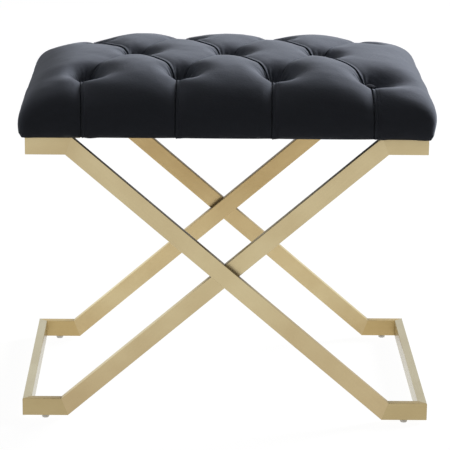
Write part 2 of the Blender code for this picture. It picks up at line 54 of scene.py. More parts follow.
# Cushion form, as in the part
COVER_LOW, COVER_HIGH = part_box("seat_cover")
HALF_X, HALF_Y = COVER_HIGH.x, COVER_HIGH.y
BOTTOM, HEIGHT = COVER_LOW.z, COVER_HIGH.z - COVER_LOW.z
SIDE_HEIGHT = 0.0128
ROUND_X, ROUND_Y, ROUND_H = 0.096, 0.126, HEIGHT - SIDE_HEIGHT
ROUND_POWER = 2.37
SIDE_CORNER, TOP_CORNER = 20, 2.3
CORNER_TURN, CORNER_TURN_POWER, CORNER_ROUNDS = 2.15, 2.5, 4
TUCK, TUCK_HEIGHT = 0.0042, 0.022
EDGE_RADIUS = 0.0012
LIP_WIDTH, LIP_THICKNESS = 0.0377, 0.0016
POCKET_INSET, POCKET_GAP = 0.0040, 0.0003
FOAM_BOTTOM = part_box("seat_board")[1].z + POCKET_GAP

# Frame of mitred tube, as in the part
TUBE_FACE, TUBE_THICKNESS, TUBE_EDGE_RADIUS = 0.024, 0.012, 0.0011
FLAT_LENGTH = 0.0615
WELD_THICKNESS = 0.00028

# Dust cover and its staples
DUST_LOW, DUST_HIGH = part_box("dust_cover")
DUST_STEP, DUST_SAG, DUST_HOLE = 0.006, 0.0016, 0.006
DUST_CRINKLE, DUST_CRINKLES_X, DUST_CRINKLES_Y, DUST_CRINKLE_FADE = 0.00025, 9, 7, 4
STAPLE_SIZE, STAPLE_STEP, STAPLE_INSET, STAPLE_GAP = (0.0100, 0.0009, 0.0004), 0.036, 0.007, 0.00005

# Hang of the cover's lower edge at the front: middle and half width along X, and how far down
HANG_RING, HANG_REACH, HANG_DEPTH, HANG_FADE = 0.0028, 0.010, 0.012, 0.005
HANGS = (
    (-0.182, 0.008, 0.0012), (-0.064, 0.004, 0.0007), (0.061, 0.004, 0.0007), (0.203, 0.006, 0.0008),
    (-0.264, 0.014, 0.0009), (0.262, 0.013, 0.0010),
)

# Tufts and pleats
PITCH, ROW, FRONT_SHIFT = 0.1275, 0.118, -0.0020
FOUR_COLUMNS, THREE_COLUMNS = (-1.5, -0.5, 0.5, 1.5), (-1, 0, 1)
PITCH_SLACK, PLEAT_OVERRUN = 0.01, 0.02
FALLING_CRISP, OUTERMOST_CRISP, RISING_CRISP = 1.0, 0.7, 0.2
PLEAT_SHIFTS = {
    "front_1": (-0.0057, 0.0026), "front_2": (-0.0010, -0.0033), "front_3": (-0.0012, -0.0042),
    "front_4": (0.0019, 0.0042),
}
SOFT_PLEATS = {"rear_1": 0.45, "rear_4": 0.85}
WELL_DEPTH, WELL_RADIUS, WELL_SKEW, WELL_POWER = 0.0405, 0.0185, 0.0060, 1.7
WIDER_WELLS = {"front_1": 1.15, "front_3": 1.2, "front_4": 1.25, "rear_1": 0.8, "rear_4": 0.8}
PLEAT_DEPTH, PLEAT_WIDTH = 0.0055, 0.012
SIDE_PLEAT_DEPTH, SIDE_PLEAT_WIDTH, SIDE_PLEAT_FADE = 0.011, 0.013, 0.21

# Ends of the cushion: a soft hollow from each corner tuft outward, how corners sag and how the ends lean
END_START, END_REACH = 0.115, 0.095
END_HOLLOW_DEPTH, END_HOLLOW_WIDTH, END_HOLLOW_START, END_HOLLOW_LENGTH = 0.0100, 0.025, 0.024, 0.085
END_HOLLOW_OUT, END_HOLLOW_REAR = 0.008, 0.3
SAG = {"left_front": 0.0025, "right_front": 0.0085, "left_rear": 0.0122, "right_rear": 0.0055}
TOP_SHIFT_LEFT, TOP_SHIFT_RIGHT = 0.0050, 0.0112
LOW_SHIFT_LEFT, LOW_SHIFT_RIGHT = -0.0024, -0.0008
SHIFT_START, SHIFT_REACH = 0.185, 0.060

# Folded edge of a pleat, in cross-section: place, height and half width of each ridge and groove
FOLD = ((0.0, -0.0026, 0.0010), (0.0021, 0.0017, 0.0011))
STRAIGHT_FOLD = (
    (0.0, -0.0021, 0.0009), (0.0019, 0.0012, 0.0010), (0.0038, -0.0005, 0.0007), (0.0068, -0.0004, 0.0007)
)
LIP_PLACE, LIP_SPREAD, LIP_LEAN = 0.0020, 0.0012, 0.0014
FOLD_REACH, FOLD_WELL, FOLD_FADE = 0.014, 0.005, 0.008

# Puckers round the tufts, as waves with their share, count and turn from tuft to tuft, and slight unevenness
PUCKER_HEIGHT, PUCKER_RADIUS, PUCKER_WIDTH, PUCKER_REACH = 0.00045, 0.017, 0.008, 0.045
PUCKER_WAVES = ((1.0, 19, 2.1), (0.6, 31, 1.3))
UNEVEN_HEIGHT, UNEVEN_FADE, UNEVEN_NOISES = 0.0007, 0.03, ((1.0, 22), (0.5, 55))

# Fineness of the cushion mesh: how far from a pleat, and how long an edge may be there
COARSE_STEP, MERGE_DISTANCE = 0.005, 0.00001
REFINE = ((0.012, 0.0031), (0.008, 0.0016), (0.0045, 0.0008))
SHARP_ANGLE = math.radians(60)

# Swelling of the cover by a cloth simulation: where it is held, and where it is kept as it is evened out
SIM_STEP, SIM_FRAMES, SIM_QUALITY, SIM_PRESSURE, SIM_CAP = 0.0065, 20, 5, 4.0, 0.004
HELD_AT_TUFT, HELD_AT_PLEAT, HELD_AT_EDGE = 0.014, 0.005, 0.012
EVEN_ROUNDS, KEPT_AT_PLEAT, KEPT_AT_EDGE, KEPT_AT_RIM = 6, 0.004, 0.006, 0.0005

# Noise in the materials: where its two colours start and end
NOISE_RANGE = (0.3, 0.7)
OCCLUSION_SAMPLES = 8

# Sockets of a mix node, for a factor, colours and numbers
MIX_FACTOR, MIX_COLOURS, MIX_COLOUR_RESULT = 0, (6, 7), 2
MIX_NUMBERS, MIX_NUMBER_RESULT = (2, 3), 0

# Nap of the cover, with painted shade deep in the wells and pleats: how near other cover the shade is
# painted, between which shares it fades out, and the look of the nap and of the painted shade
WELL_SHADE_REACH, WELL_SHADE_RANGE = 0.040, (0.48, 0.92)
NAP_COLOURS = ((0.0250, 0.0261, 0.0357), (0.0330, 0.0345, 0.0471))
PAINTED_WELL_SHADE_COLOUR = (0.0030, 0.0032, 0.0038)
NAP_ROUGHNESS, NAP_SPECULAR = (0.52, 0.70), 0.09
SHADE_SCALE, NAP_SCALE, GRAIN_SCALE, GRAIN_STRETCH = 38, 260, 1500, (0.35, 1, 1)
GRAIN_BUMP, NAP_BUMP = (0.35, 0.0004), (0.18, 0.0010)
# The buttons get a painted-shade copy of the cover, with little sheen, so that they stay as dark as the shade
# in the wells
COVER_SHEEN, SHADED_BUTTON_SHEEN = 0.66, 0.10
SHEEN_ROUGHNESS, SHEEN_TINT = 0.85, (0.72, 0.781, 0.920, 1)

# Brushed plating under a thin coat, with less coat on upward faces
BRASS_COLOURS = ((0.545, 0.440, 0.245), (0.610, 0.512, 0.300))
BRASS_ROUGHNESS, CLOUD_SCALE = (0.32, 0.48), 16
BRUSH_ALONG, BRUSH_ACROSS, BRUSH_NOISE_ROUGHNESS, BRUSH_BUMP = 6, 900, 0.65, (0.16, 0.0003)
ANISOTROPY, ANISOTROPY_TURN = 0.75, 0.25
COAT, COAT_ON_TOP, COAT_ROUGHNESS = 0.5, 0.1, 0.22
UPWARD_START, UPWARD_FULL = 0.3, 0.6

# Painted shade and light on the plating by height, for the front and the rear of the frame: darker towards
# the floor at the front, warmer under the seat at the rear, darker on the feet and a painted greyer cast on
# the bars; and more of it on upward faces
TONE_HEIGHT, TONE_DEPTH = 0.4, 0.1
PAINTED_LEG_SHADE = (
    ((0.03, (0.90, 0.85, 0.80)), (0.20, (1.03, 1.03, 1.02)), (0.37, (1.00, 0.99, 0.98))),
    ((0.02, (0.98, 0.91, 0.80)), (0.065, (1.10, 1.08, 1.03)), (0.28, (1.05, 0.93, 0.75))),
)
PAINTED_FLAT_SHADE = (
    ((0.1, (0.80, 0.76, 0.66)), (0.3, (0.97, 0.95, 0.91))),
    ((0.1, (0.90, 0.80, 0.60)), (0.3, (0.97, 0.90, 0.80))),
)
PAINTED_BAR_CAST = (((0.0, (0.85, 0.92, 1.03)), (0.4, (0.85, 0.92, 1.03))),) * 2
PLAIN_TOP = ((0.0, (1.0, 1.0, 1.0)), (0.4, (1.0, 1.0, 1.0)))
# On upward faces: a painted highlight low down and painted shade higher up, under the seat
PAINTED_FLAT_TOPS = (PLAIN_TOP, ((0.03, (1.12, 1.18, 1.34)), (0.4, (1.0, 1.0, 1.0))))
PAINTED_LOW_HIGHLIGHT = (0.12, (1.22, 1.32, 1.52))
PAINTED_REAR_TOP = (
    PAINTED_LOW_HIGHLIGHT, (0.16, (1.05, 1.10, 1.20)), (0.20, (0.66, 0.64, 0.58)), (0.25, (0.22, 0.20, 0.16))
)
PAINTED_RISING_TOPS = (
    (PAINTED_LOW_HIGHLIGHT, (0.20, (1.0, 1.0, 1.0)), (0.26, (0.70, 0.68, 0.62)), (0.35, (0.18, 0.16, 0.13))),
    PAINTED_REAR_TOP,
)
PAINTED_FALLING_TOPS = (
    ((0.08, (1.0, 1.0, 1.0)), (0.165, (0.78, 0.76, 0.72)), (0.25, (0.20, 0.18, 0.15))),
    PAINTED_REAR_TOP,
)

# Shade in the crevices of the plating
CREVICE_REACH, CREVICE_DARKEST, CREVICE_LIGHTEST = 0.030, 0.74, 0.95
CREVICE_COLOUR = (0.05, 0.032, 0.012)

# Plain finishes: two colours, the grain's scale, roughness, metallic share, strength and stretch of the grain
FINISHES = {
    "zinc": ((0.50, 0.51, 0.53), (0.62, 0.63, 0.65), 900, 0.36, 1.0, 0.2, (1, 1, 1)),
    "moulded_nylon": ((0.56, 0.53, 0.47), (0.66, 0.63, 0.56), 1400, 0.4, 0.6, 0.2, (1, 1, 1)),
    "plywood": ((0.42, 0.27, 0.14), (0.62, 0.45, 0.27), 260, 0.62, 0, 0.3, (0.06, 1, 1)),
    "twine": ((0.52, 0.48, 0.40), (0.72, 0.68, 0.60), 1800, 0.85, 0, 0.5, (1, 1, 0.3)),
    "nonwoven": ((0.010, 0.010, 0.011), (0.020, 0.020, 0.021), 700, 0.9, 0, 0.6, (1, 1, 1)),
}
CLOUD_TO_GRAIN, ROUGHNESS_SPREAD, GRAIN_HEIGHT = 9, 0.08, 0.0003

# Lamps: where each stands from the seat, how far, its strength as of a sun lamp, and its size
KEY_LAMP = ((1.2, 0.78, 0.48), 4.0, 3.15, 1.7)
FILL_LAMP = ((-1.3, 0.1, 0.25), 4.0, 0.25, 2.1)

# World and floor: dim and bright ends of the light, and the floor's colour by bounced light and as it is seen
WORLD_TOWARD, WORLD_DIM, WORLD_BRIGHT = (0.95, 0.3, 0.1), 0.0, 0.07
FLOOR_HALF, FLOOR_COLOURS, FLOOR_ROUGHNESS = 14, (0.25, 0.95), 0.9
FLOOR_GLOW, FLOOR_GLOW_SHARE = 1.10, 0.88

# Camera, fitted to the corners of the frame in the photograph: yaw, pitch and roll are in degrees
CAMERA_PLACE, CAMERA_ANGLES = (-0.0526, -3.1814, 1.0730), (0.963, 14.92, 0.645)
CAMERA_SENSOR, CAMERA_LENS, CAMERA_CLIP_END = 36, 185.93, 100


# Small helpers

def new_object(name, data):
    obj = bpy.data.objects.new(name, data)
    bpy.context.scene.collection.objects.link(obj)
    return obj


def mesh_object(name, bm):
    """An object with the given geometry, which is freed."""
    mesh = bpy.data.meshes.new(name)
    bm.to_mesh(mesh)
    bm.free()
    return new_object(name, mesh)


def bump(distance, width):
    return np.exp(-((distance / width) ** 2))


def smooth_step(share):
    share = np.clip(share, 0, 1)
    return share * share * (3 - 2 * share)


def tuft_places():
    """Name and place of each tuft."""
    rows = (
        ("front", -ROW, FRONT_SHIFT, FOUR_COLUMNS),
        ("middle", 0.0, 0.0, THREE_COLUMNS),
        ("rear", ROW, 0.0, FOUR_COLUMNS),
    )
    return [
        (f"{row}_{i}", column * PITCH + shift, y)
        for row, y, shift, columns in rows
        for i, column in enumerate(columns, 1)
    ]


TUFTS = np.array([(x, y) for _, x, y in tuft_places()])


def pleat_lines():
    """Start, end, how crisp, and whether it is one of the straight ones, for each pleat."""
    outer = [(x, y) for x, y in TUFTS if y]
    lines = []
    for mx, my in (tuft for tuft in TUFTS if not tuft[1]):
        for ox, oy in outer:
            if abs(abs(ox - mx) - PITCH / 2) < PITCH_SLACK:
                falls = (ox - mx) * oy < 0
                outermost = abs(ox) > PITCH and abs(mx) > PITCH / 2
                crisp = FALLING_CRISP if falls else OUTERMOST_CRISP if outermost else RISING_CRISP
                front, back = sorted(((mx, my), (ox, oy)), key=lambda p: p[1])
                lines.append((front, back, crisp, False))
    for name, ox, oy in tuft_places():
        if oy:
            start_shift, end_shift = PLEAT_SHIFTS.get(name, (0.0, 0.0))
            end = (ox + end_shift, math.copysign(HALF_Y + PLEAT_OVERRUN, oy))
            lines.append(((ox + start_shift, oy), end, SOFT_PLEATS.get(name, 1.0), True))
    return lines


PLEATS = pleat_lines()


# Cushion form

def rounded(box):
    """Points of the plain box on the rounded block, how far each is on the top, and which way is outward."""
    x, y, h = box.T
    inner_x, inner_y = HALF_X - ROUND_X, HALF_Y - ROUND_Y
    edge_x = np.maximum(0, np.abs(x) - inner_x) / ROUND_X
    edge_y = np.maximum(0, np.abs(y) - inner_y) / ROUND_Y
    edge_h = np.maximum(0, h - SIDE_HEIGHT) / ROUND_H
    plan = np.maximum(edge_x, edge_y)
    for _ in range(CORNER_ROUNDS):
        size = (plan**ROUND_POWER + edge_h**ROUND_POWER) ** (1 / ROUND_POWER)
        turned_up = 1 - np.exp(-((CORNER_TURN * edge_h / size) ** CORNER_TURN_POWER))
        corner = SIDE_CORNER + (TOP_CORNER - SIDE_CORNER) * turned_up
        plan = (edge_x**corner + edge_y**corner) ** (1 / corner)
    size = (plan**ROUND_POWER + edge_h**ROUND_POWER) ** (1 / ROUND_POWER)
    edge_x, edge_y, edge_h = edge_x / size, edge_y / size, edge_h / size
    x = np.where(edge_x > 0, np.copysign(inner_x + ROUND_X * edge_x, x), x)
    y = np.where(edge_y > 0, np.copysign(inner_y + ROUND_Y * edge_y, y), y)
    h = np.where(edge_h > 0, SIDE_HEIGHT + ROUND_H * edge_h, h)
    outward = np.stack(
        (np.copysign(edge_x ** (corner - 1), x), np.copysign(edge_y ** (corner - 1), y), edge_h), axis=1
    )
    outward /= np.linalg.norm(outward, axis=1)[:, None]
    return np.stack((x, y, h), axis=1), edge_h, outward


def off_pleat(x, y, pleat):
    """Signed distance across a pleat, positive to the right, and distance from its line."""
    (ax, ay), (bx, by), _, _ = pleat
    length = math.hypot(bx - ax, by - ay)
    run_x, run_y = (bx - ax) / length, (by - ay) / length
    along = (x - ax) * run_x + (y - ay) * run_y
    side = 1 if run_y > 0 else -1
    across = side * ((x - ax) * run_y - (y - ay) * run_x)
    away = np.hypot(across, np.maximum(0, np.maximum(-along, along - length)))
    return across, away


def well_distance(x, y):
    return np.min(np.hypot(x[:, None] - TUFTS[:, 0], y[:, None] - TUFTS[:, 1]), axis=1)


def well_share(x, y):
    """How deep in a tuft's well each point is, from 0 to 1. The wells open out more gently to the right."""
    right, back = x[:, None] - TUFTS[:, 0], y[:, None] - TUFTS[:, 1]
    distance = np.hypot(right, back)
    sizes = np.array([WIDER_WELLS.get(name, 1.0) for name, _, _ in tuft_places()])
    radius = (WELL_RADIUS + WELL_SKEW * right / np.maximum(distance, 1e-6)) * sizes
    return np.max(np.exp(-((distance / radius) ** WELL_POWER)), axis=1)


def pleat_distance(x, y):
    return np.min([off_pleat(x, y, pleat)[1] for pleat in PLEATS], axis=0)


def cushion_form(box):
    """Points of the plain box on the tufted cushion, without the folded edges of its pleats."""
    points, top, outward = rounded(box)
    x, y, h = points.T
    well = well_share(x, y) * top
    valley = np.zeros(len(x))
    for pleat in PLEATS:
        _, _, crisp, straight = pleat
        _, away = off_pleat(x, y, pleat)
        if straight:
            depth = crisp * SIDE_PLEAT_DEPTH * (SIDE_PLEAT_FADE + (1 - SIDE_PLEAT_FADE) * top)
            valley = np.maximum(valley, depth * np.exp(-away / SIDE_PLEAT_WIDTH))
        else:
            valley = np.maximum(valley, PLEAT_DEPTH * np.exp(-away / PLEAT_WIDTH))
    end = smooth_step((np.abs(x) - END_START) / END_REACH)
    past_tuft = np.abs(x) - FOUR_COLUMNS[-1] * PITCH
    begun = np.clip(0.5 + past_tuft / END_HOLLOW_START, 0, 1)
    reach = begun * np.clip(1 - past_tuft / END_HOLLOW_LENGTH, 0, 1)
    hollow = END_HOLLOW_DEPTH * bump(np.abs(y) - ROW - END_HOLLOW_OUT, END_HOLLOW_WIDTH) * reach * top
    hollow = np.where(y > 0, END_HOLLOW_REAR, 1.0) * hollow
    valley = np.maximum(valley, hollow)
    rear = np.clip(0.5 + y / (2 * ROW), 0, 1)
    left = SAG["left_front"] + (SAG["left_rear"] - SAG["left_front"]) * rear
    right = SAG["right_front"] + (SAG["right_rear"] - SAG["right_front"]) * rear
    h = h - np.where(x < 0, left, right) * end * top * (1 - well)
    top_shift = np.where(x < 0, TOP_SHIFT_LEFT, TOP_SHIFT_RIGHT)
    low_shift = np.where(x < 0, LOW_SHIFT_LEFT, LOW_SHIFT_RIGHT)
    x = x + smooth_step((np.abs(x) - SHIFT_START) / SHIFT_REACH) * (top_shift * top + low_shift * (1 - top))
    tuck = TUCK * np.maximum(0, 1 - h / TUCK_HEIGHT) ** 2
    edge = np.maximum(0, EDGE_RADIUS - h)
    tuck += EDGE_RADIUS - np.sqrt(EDGE_RADIUS**2 - edge**2)
    sunk = tuck + valley * (1 - well)
    lifted = np.stack((x, y, BOTTOM + h - WELL_DEPTH * well), axis=1)
    return lifted - outward * sunk[:, None], top


def plain_shell(step):
    """Top and sides of the plain box, in squares of about the given step."""
    bm = bmesh.new()
    grids = (
        ((-HALF_X, -HALF_Y, HEIGHT), (2 * HALF_X, 0, 0), (0, 2 * HALF_Y, 0)),
        ((-HALF_X, -HALF_Y, 0), (2 * HALF_X, 0, 0), (0, 0, HEIGHT)),
        ((HALF_X, HALF_Y, 0), (-2 * HALF_X, 0, 0), (0, 0, HEIGHT)),
        ((HALF_X, -HALF_Y, 0), (0, 2 * HALF_Y, 0), (0, 0, HEIGHT)),
        ((-HALF_X, HALF_Y, 0), (0, -2 * HALF_Y, 0), (0, 0, HEIGHT)),
    )
    for start, right, up in (map(Vector, grid) for grid in grids):
        columns, rows = round(right.length / step), round(up.length / step)
        made = [
            [bm.verts.new(start + right * (i / columns) + up * (j / rows)) for i in range(columns + 1)]
            for j in range(rows + 1)
        ]
        for j in range(rows):
            for i in range(columns):
                bm.faces.new((made[j][i], made[j][i + 1], made[j + 1][i + 1], made[j + 1][i]))
    bmesh.ops.remove_doubles(bm, verts=bm.verts, dist=MERGE_DISTANCE)
    return bm


def vert_array(bm):
    return np.array([vert.co for vert in bm.verts])


def move_verts(bm, places):
    for vert, place in zip(bm.verts, places):
        vert.co = place


def refine(bm):
    """Splits the edges near pleats until they are short enough for the folds."""
    bmesh.ops.triangulate(bm, faces=bm.faces)
    for reach, longest in REFINE:
        box = vert_array(bm)
        points, _, _ = rounded(box)
        near = pleat_distance(points[:, 0], points[:, 1]) < reach
        bm.verts.index_update()
        marked = [
            edge
            for edge in bm.edges
            if (near[edge.verts[0].index] or near[edge.verts[1].index]) and edge.calc_length() > longest
        ]
        bmesh.ops.subdivide_edges(bm, edges=marked, cuts=1)
        bmesh.ops.triangulate(bm, faces=[face for face in bm.faces if len(face.verts) > 3])


# Cloth simulation of the cover

def swelling():
    """A coarse cover blown up between tufts, pleats and lower edge: places at rest, faces and movement."""
    bm = plain_shell(SIM_STEP)
    box = vert_array(bm)
    rest, _ = cushion_form(box)
    move_verts(bm, rest)
    obj = mesh_object("cover_sim", bm)
    x, y, _ = rest.T
    held = (well_distance(x, y) < HELD_AT_TUFT) | (pleat_distance(x, y) < HELD_AT_PLEAT)
    held |= box[:, 2] < HELD_AT_EDGE
    pins = obj.vertex_groups.new(name="pins")
    pins.add([int(i) for i in np.nonzero(held)[0]], 1.0, "REPLACE")
    cloth = obj.modifiers.new("cloth", "CLOTH")
    cloth.settings.vertex_group_mass = "pins"
    cloth.settings.use_pressure = True
    cloth.settings.uniform_pressure_force = SIM_PRESSURE
    cloth.settings.effector_weights.gravity = 0
    cloth.settings.quality = SIM_QUALITY
    cloth.collision_settings.use_collision = False
    cloth.point_cache.frame_start = 1
    cloth.point_cache.frame_end = SIM_FRAMES
    scene = bpy.context.scene
    for number in range(1, SIM_FRAMES + 1):
        scene.frame_set(number)
    swollen = obj.evaluated_get(bpy.context.evaluated_depsgraph_get()).to_mesh()
    moved = np.array([vert.co for vert in swollen.vertices]) - rest
    scene.frame_set(1)
    length = np.linalg.norm(moved, axis=1)[:, None]
    moved *= np.minimum(1, SIM_CAP / np.maximum(length, 1e-9))
    faces = [tuple(face.vertices) for face in obj.data.polygons]
    bpy.data.objects.remove(obj)
    return rest, faces, moved


def spread(points, rest, faces, moved):
    """The coarse cover's movement at other points."""
    corners = [Vector(place) for place in rest]
    tree = BVHTree.FromPolygons(corners, faces)
    result = np.zeros_like(points)
    for i, place in enumerate(points):
        at, _, index, _ = tree.find_nearest(Vector(place))
        face = faces[index]
        weights = poly_3d_calc([corners[k] for k in face], at)
        result[i] = sum(w * moved[k] for w, k in zip(weights, face))
    return result


def relaxed(points, edges, fixed, rounds):
    """Evens out points along the edges, except where they are fixed."""
    a, b = edges.T
    count = np.bincount(np.concatenate((a, b)), minlength=len(points))[:, None]
    for _ in range(rounds):
        total = np.zeros_like(points)
        np.add.at(total, a, points[b])
        np.add.at(total, b, points[a])
        points = np.where(fixed[:, None], points, 0.5 * points + 0.5 * total / count)
    return points


def mesh_normals(points, faces):
    normals = np.zeros_like(points)
    a, b, c = (points[faces[:, k]] for k in range(3))
    cross = np.cross(b - a, c - a)
    for k in range(3):
        np.add.at(normals, faces[:, k], cross)
    return normals / np.maximum(np.linalg.norm(normals, axis=1), 1e-12)[:, None]


def folds(points, normals, x, y, top):
    """Moves points into the folded edges of the pleats, the puckers round the tufts and slight unevenness."""
    moved = np.zeros_like(points)
    well = well_distance(x, y)
    for pleat in PLEATS:
        (ax, ay), (bx, by), crisp, straight = pleat
        across, away = off_pleat(x, y, pleat)
        near = np.nonzero(away < FOLD_REACH)[0]
        s = across[near]
        fade = np.clip((well[near] - FOLD_WELL) / FOLD_FADE, 0, 1) * crisp
        profile = STRAIGHT_FOLD if straight else FOLD
        up = sum(height * bump(s - place, width) for place, height, width in profile)
        lean = -LIP_LEAN * bump(s - LIP_PLACE, LIP_SPREAD)
        length = math.hypot(bx - ax, by - ay)
        right = np.array((abs(by - ay), -(bx - ax) * math.copysign(1, by - ay), 0)) / length
        n = normals[near]
        tangent = right - n * (n @ right)[:, None]
        moved[near] += n * (up * fade)[:, None] + tangent * (lean * fade)[:, None]
    for number, (tx, ty) in enumerate(TUFTS):
        radius = np.hypot(x - tx, y - ty)
        near = np.nonzero(radius < PUCKER_REACH)[0]
        angle = np.arctan2(y[near] - ty, x[near] - tx)
        ripple = sum(share * np.cos(count * angle + turn * number) for share, count, turn in PUCKER_WAVES)
        pucker = PUCKER_HEIGHT * ripple * bump(radius[near] - PUCKER_RADIUS, PUCKER_WIDTH)
        moved[near] += normals[near] * (pucker * top[near])[:, None]
    uneven = np.array(
        [sum(share * noise.noise(Vector(p) * scale) for share, scale in UNEVEN_NOISES) for p in points]
    )
    moved += normals * (UNEVEN_HEIGHT * uneven * np.clip(well / UNEVEN_FADE, 0, 1))[:, None]
    return points + moved


def hang(points, height):
    """How far the lower edge hangs down at the front, where the pleats end and at the corners."""
    down = np.zeros(len(points))
    for middle, half_width, depth in HANGS:
        down = np.maximum(down, depth * bump(points[:, 0] - middle, half_width))
    front = np.clip((-points[:, 1] - HALF_Y + HANG_DEPTH) / HANG_FADE, 0, 1)
    return down * front * np.clip(1 - height / HANG_REACH, 0, 1)


def close_underneath(bm):
    """Turns the cover in under the board and lines the pocket that the board sits in."""
    rim = [edge for edge in bm.edges if edge.is_boundary]
    opening = (HALF_X - TUCK - LIP_WIDTH, HALF_Y - TUCK - LIP_WIDTH)
    pocket = (HALF_X - TUCK - POCKET_INSET, HALF_Y - TUCK - POCKET_INSET)
    outline = (HALF_X - TUCK - EDGE_RADIUS, HALF_Y - TUCK - EDGE_RADIUS)
    under_edge = (outline[0] - HANG_RING, outline[1] - HANG_RING)
    rings = (
        (under_edge, BOTTOM),
        (opening, BOTTOM),
        (opening, BOTTOM + LIP_THICKNESS),
        (pocket, BOTTOM + LIP_THICKNESS),
        (pocket, FOAM_BOTTOM),
    )
    size = outline
    for ring, height in rings:
        made = bmesh.ops.extrude_edge_only(bm, edges=rim)["geom"]
        rim = [item for item in made if isinstance(item, bmesh.types.BMEdge)]
        for vert in {v for edge in rim for v in edge.verts}:
            vert.co = (vert.co.x * ring[0] / size[0], vert.co.y * ring[1] / size[1], height)
        rim = [edge for edge in rim if edge.is_boundary]
        size = ring
    bmesh.ops.holes_fill(bm, edges=rim)
    bmesh.ops.triangulate(bm, faces=[face for face in bm.faces if len(face.verts) > 4])


def make_cushion():
    bm = plain_shell(COARSE_STEP)
    refine(bm)
    box = vert_array(bm)
    points, top = cushion_form(box)
    plan, _, _ = rounded(box)
    x, y, _ = plan.T
    bm.verts.index_update()
    edges = np.array([[v.index for v in edge.verts] for edge in bm.edges])
    faces = np.array([[v.index for v in face.verts] for face in bm.faces])
    points += spread(points, *swelling())
    kept = (pleat_distance(x, y) < KEPT_AT_PLEAT) | (box[:, 2] < KEPT_AT_EDGE)
    points = relaxed(points, edges, kept, EVEN_ROUNDS)
    normals = mesh_normals(points, faces)
    shaped = folds(points, normals, x, y, top)
    rim = box[:, 2] < KEPT_AT_RIM
    shaped[rim] = points[rim]
    shaped[:, 2] -= hang(points, box[:, 2])
    move_verts(bm, shaped)
    close_underneath(bm)
    bmesh.ops.recalc_face_normals(bm, faces=bm.faces)
    cushion = mesh_object("seat_cushion", bm)
    cushion.data.shade_smooth()
    cushion.data.set_sharp_from_angle(angle=SHARP_ANGLE)
    return cushion


# Welds in the mitres

def frame_corners(prefix):
    """Middle line of one side of a Z-frame, as (x, z): the foot's end and bend, the arm's bend and end."""
    foot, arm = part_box(f"{prefix}_foot_bar"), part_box(f"{prefix}_seat_bar")
    side = 1 if foot[0].x > 0 else -1
    foot_span, arm_span = 2 * max(abs(foot[0].x), foot[1].x), 2 * max(abs(arm[0].x), arm[1].x)
    run, rise = (foot_span + arm_span) / 2 - 2 * FLAT_LENGTH, arm[1].z - foot[0].z
    angle = math.acos(TUBE_FACE / math.hypot(run, rise)) - math.atan2(run, rise)
    bend = TUBE_FACE / 2 * math.tan(angle / 2)
    foot_z, arm_z = foot[0].z + TUBE_FACE / 2, arm[1].z - TUBE_FACE / 2
    return (
        (side * (foot_span / 2 - TUBE_THICKNESS / 2), foot_z),
        (side * (foot_span / 2 - FLAT_LENGTH + bend), foot_z),
        (-side * (arm_span / 2 - FLAT_LENGTH + bend), arm_z),
        (-side * (arm_span / 2 - TUBE_THICKNESS / 2), arm_z),
    )


def add_plate(bm, middle, before, after, axis, across, width):
    """A plate in the mitre between two runs of tube. axis is square to both, across its size that way."""
    normal = (before + after).normalized()
    turn = Matrix((normal, axis, normal.cross(axis))).transposed().to_4x4()
    size = Matrix.Diagonal((WELD_THICKNESS, across, width / normal.dot(before), 1))
    made = bmesh.ops.create_cube(bm, size=1, matrix=Matrix.Translation(middle) @ turn @ size)["verts"]
    edges = [edge for edge in bm.edges if edge.verts[0] in made and edge.calc_length() < 2 * WELD_THICKNESS]
    bmesh.ops.bevel(bm, geom=edges, offset=TUBE_EDGE_RADIUS, segments=2, affect="EDGES", profile=0.5)


def make_welds(prefix):
    """Plates that fill the mitres of a frame, so that its tubes run into each other without a seam."""
    foot_end, foot_bend, arm_bend, arm_end = frame_corners(prefix)
    half_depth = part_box(f"{prefix}_rear_leg")[1].y - TUBE_THICKNESS / 2
    up, back = Vector((0, 0, 1)), Vector((0, 1, 0))
    bm = bmesh.new()
    for side in (-1, 1):
        line = [Vector((x, side * half_depth, z)) for x, z in (foot_end, foot_bend, arm_bend, arm_end)]
        runs = [(b - a).normalized() for a, b in zip(line, line[1:])]
        add_plate(bm, line[0], back * side, runs[0], up, TUBE_FACE, TUBE_THICKNESS)
        add_plate(bm, line[1], runs[0], runs[1], back, TUBE_THICKNESS, TUBE_FACE)
        add_plate(bm, line[2], runs[1], runs[2], back, TUBE_THICKNESS, TUBE_FACE)
        add_plate(bm, line[3], runs[2], -back * side, up, TUBE_FACE, TUBE_THICKNESS)
    bmesh.ops.recalc_face_normals(bm, faces=bm.faces)
    return mesh_object(f"{prefix}_welds", bm)


# Underside

def screw_places():
    boxes = [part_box(name) for name in nodes if name.endswith("_seat_screw")]
    return [(low + high) / 2 for low, high in boxes]


